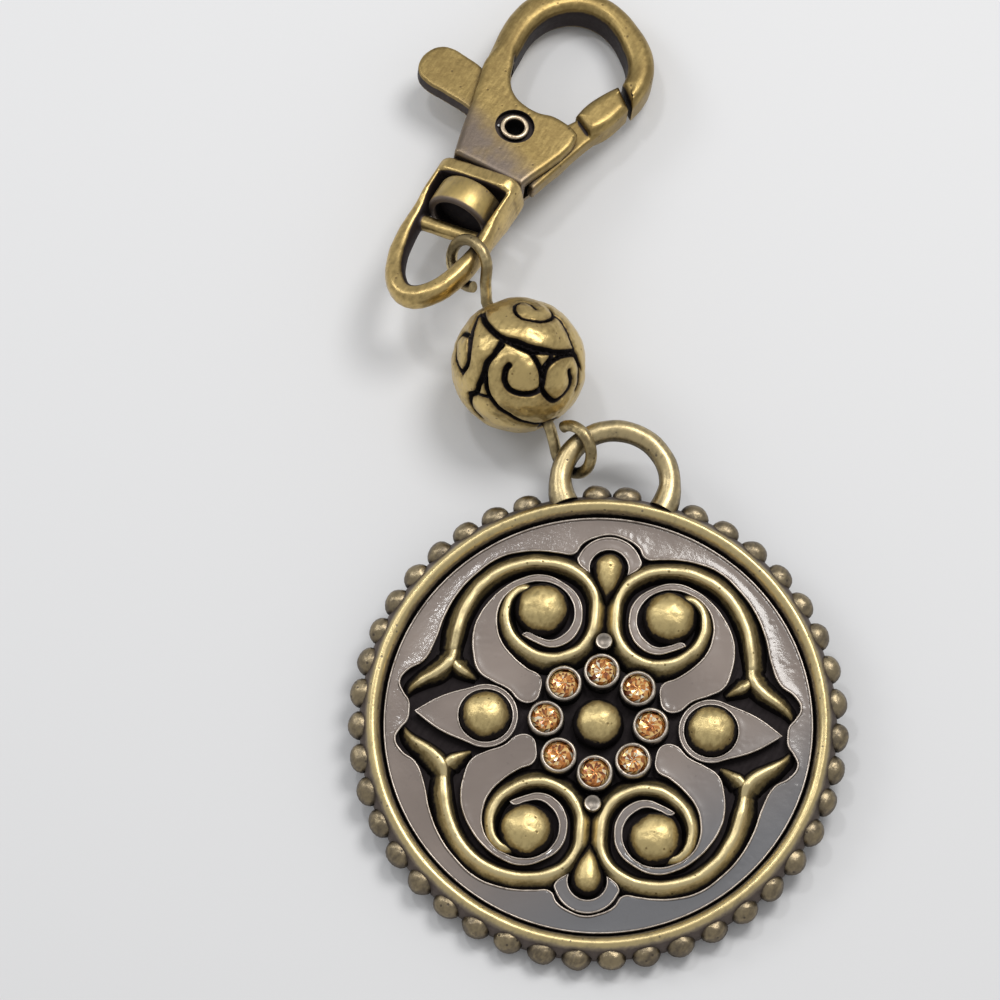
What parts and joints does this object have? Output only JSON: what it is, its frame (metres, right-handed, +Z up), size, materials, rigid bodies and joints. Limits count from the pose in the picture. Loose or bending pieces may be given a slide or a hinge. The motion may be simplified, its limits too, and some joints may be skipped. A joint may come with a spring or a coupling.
{
  "type": "bohemian keychain",
  "caption": "Keychain: a swivelling trigger snap hook, a scroll-carved bead on an eye pin, and a round enamelled medallion with a ring of amber stones.",
  "frame": {"origin": "centre of the medallion's flat back", "axes": "+Y from the medallion's middle to its hoop and on towards the clasp, +Z up from the table that the keychain lies on, +X to the right in the picture"},
  "size_m": [0.0502, 0.1053, 0.0134],
  "materials": {
    "clasp_brass": "brushed antique brass with dark grooves",
    "rivet_brass": "antique brass, dark at the rim",
    "spring_steel": "bright spring wire",
    "wire_brass": "drawn antique brass wire",
    "bead_brass": "cast scrolls with bright crests and dark hollows",
    "medallion_brass": "cast antique brass, bright on the crests and dark in the hollows",
    "grey_enamel": "glossy taupe-grey enamel",
    "amber_stone": "faceted amber glass"
  },
  "bodies": {
    "medallion": {"medallion": "medallion_brass", "enamel_field": "grey_enamel", "enamel_comma_tl": "grey_enamel", "enamel_comma_tr": "grey_enamel", "enamel_comma_bl": "grey_enamel", "enamel_comma_br": "grey_enamel", "enamel_leaf_left": "grey_enamel", "enamel_leaf_right": "grey_enamel", "enamel_arch_top": "grey_enamel", "enamel_arch_bottom": "grey_enamel", "stone_1": "amber_stone", "stone_2": "amber_stone", "stone_3": "amber_stone", "stone_4": "amber_stone", "stone_5": "amber_stone", "stone_6": "amber_stone", "stone_7": "amber_stone", "stone_8": "amber_stone"},
    "eye_pin": {"eye_pin": "wire_brass"},
    "bead": {"scroll_bead": "bead_brass"},
    "swivel": {"swivel_loop": "clasp_brass"},
    "clasp": {"clasp_body": "clasp_brass", "swivel_cap": "clasp_brass", "gate_rivet": "rivet_brass", "gate_spring": "spring_steel"},
    "gate": {"gate_lever": "clasp_brass"}
  },
  "joints": [
    {"name": "pin_swing", "type": "hinge", "parent": "medallion", "child": "eye_pin", "pos_m": [-0.00445, 0.02802, 0.00406], "axis": [-0.6451, -0.5169, 0.5628], "range_deg": [-80, 65]},
    {"name": "bead_spin", "type": "hinge", "parent": "eye_pin", "child": "bead", "pos_m": [-0.01054, 0.03637, 0.00506], "axis": [-0.5053, 0.841, 0.1931], "continuous": true},
    {"name": "swivel_swing", "type": "hinge", "parent": "eye_pin", "child": "swivel", "pos_m": [-0.01629, 0.04622, 0.00721], "axis": [-0.5295, -0.8383, 0.1296], "range_deg": [-80, 60]},
    {"name": "swivel_turn", "type": "hinge", "parent": "swivel", "child": "clasp", "pos_m": [-0.01298, 0.06213, 0.00356], "axis": [0.4137, 0.8953, -0.1652], "continuous": true},
    {"name": "gate_pivot", "type": "hinge", "parent": "clasp", "child": "gate", "pos_m": [-0.01298, 0.06213, 0.00356], "axis": [0.0693, 0.15, 0.9863], "range_deg": [0, 28], "stiffness_Nm_per_rad": 0.03, "springref_deg": -22.92}
  ]
}
